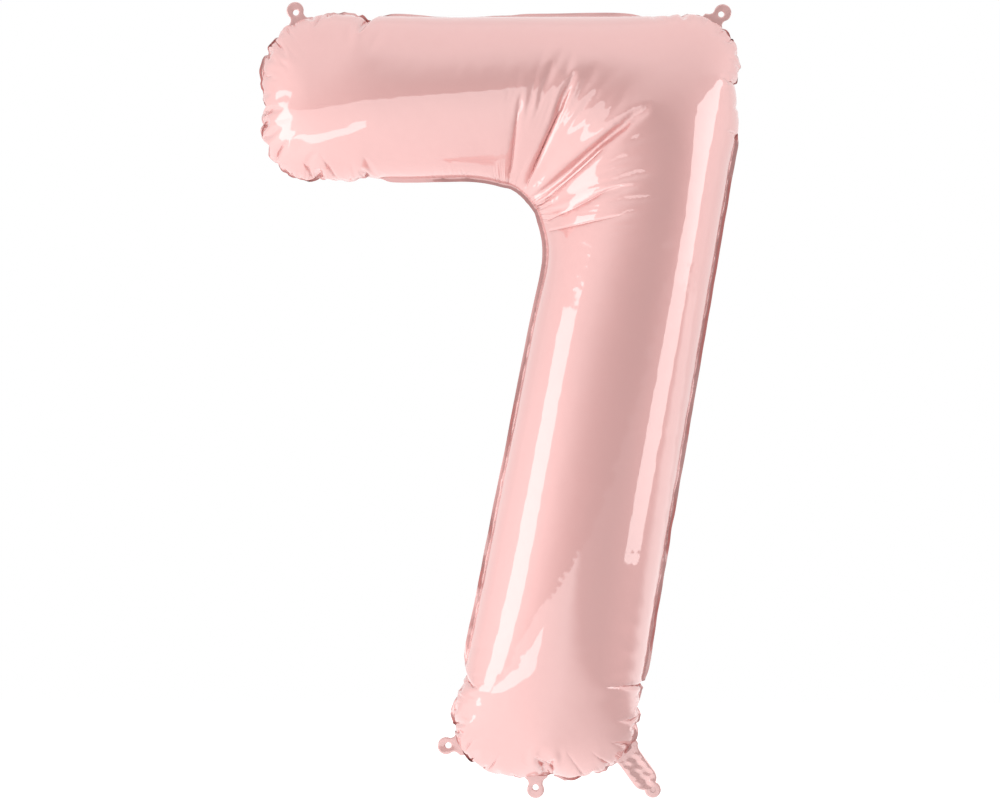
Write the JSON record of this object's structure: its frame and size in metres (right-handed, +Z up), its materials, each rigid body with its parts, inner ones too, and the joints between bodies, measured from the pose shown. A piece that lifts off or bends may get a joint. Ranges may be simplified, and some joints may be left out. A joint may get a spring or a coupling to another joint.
{
  "type": "foil number balloon",
  "caption": "Inflated foil balloon shaped as the figure 7, with welded margin, punched hanging tabs and a filling neck with a self-sealing valve.",
  "frame": {"origin": "centre of the hole in the upper right hanging tab, in the plane of the weld", "axes": "+Z up the figure, +X to the right seen from the front, -Y towards the front"},
  "size_m": [0.541, 0.212, 0.8963],
  "materials": {
    "foil": "gloss",
    "tab_film": "gloss",
    "valve_film": "satin"
  },
  "bodies": {
    "balloon": {"front_foil": "foil", "back_foil": "foil", "valve_inner_front_film": "valve_film", "valve_inner_back_film": "valve_film"},
    "top_right_tab": {"top_right_tab_front_ply": "tab_film", "top_right_tab_back_ply": "tab_film"},
    "top_left_tab": {"top_left_tab_front_ply": "tab_film", "top_left_tab_back_ply": "tab_film"},
    "bottom_left_tab": {"bottom_left_tab_front_ply": "tab_film", "bottom_left_tab_back_ply": "tab_film"},
    "bottom_middle_tab": {"bottom_middle_tab_front_ply": "tab_film", "bottom_middle_tab_back_ply": "tab_film"},
    "filling_neck": {"neck_front_ply": "tab_film", "neck_back_ply": "tab_film", "valve_front_film": "valve_film", "valve_back_film": "valve_film"}
  },
  "joints": [
    {"name": "top_right_tab_fold", "type": "hinge", "parent": "balloon", "child": "top_right_tab", "pos_m": [-0.00417, 0, -0.00432], "axis": [-0.7193, 0, 0.6947], "range_deg": [-90, 90], "stiffness_Nm_per_rad": 0.0002},
    {"name": "top_left_tab_fold", "type": "hinge", "parent": "balloon", "child": "top_left_tab", "pos_m": [-0.47663, 0, -0.00202], "axis": [-0.9466, 0, -0.3223], "range_deg": [-90, 90], "stiffness_Nm_per_rad": 0.0002},
    {"name": "bottom_left_tab_fold", "type": "hinge", "parent": "balloon", "child": "bottom_left_tab", "pos_m": [-0.30063, 0, -0.82069], "axis": [0.1478, 0, -0.989], "range_deg": [-90, 90], "stiffness_Nm_per_rad": 0.0002},
    {"name": "bottom_middle_tab_fold", "type": "hinge", "parent": "balloon", "child": "bottom_middle_tab", "pos_m": [-0.2084, 0, -0.8626], "axis": [1, 0, 0], "range_deg": [-90, 90], "stiffness_Nm_per_rad": 0.0002},
    {"name": "filling_neck_fold", "type": "hinge", "parent": "balloon", "child": "filling_neck", "pos_m": [-0.10377, 0, -0.83345], "axis": [0.809, 0, 0.5878], "range_deg": [-90, 90], "stiffness_Nm_per_rad": 0.001}
  ]
}
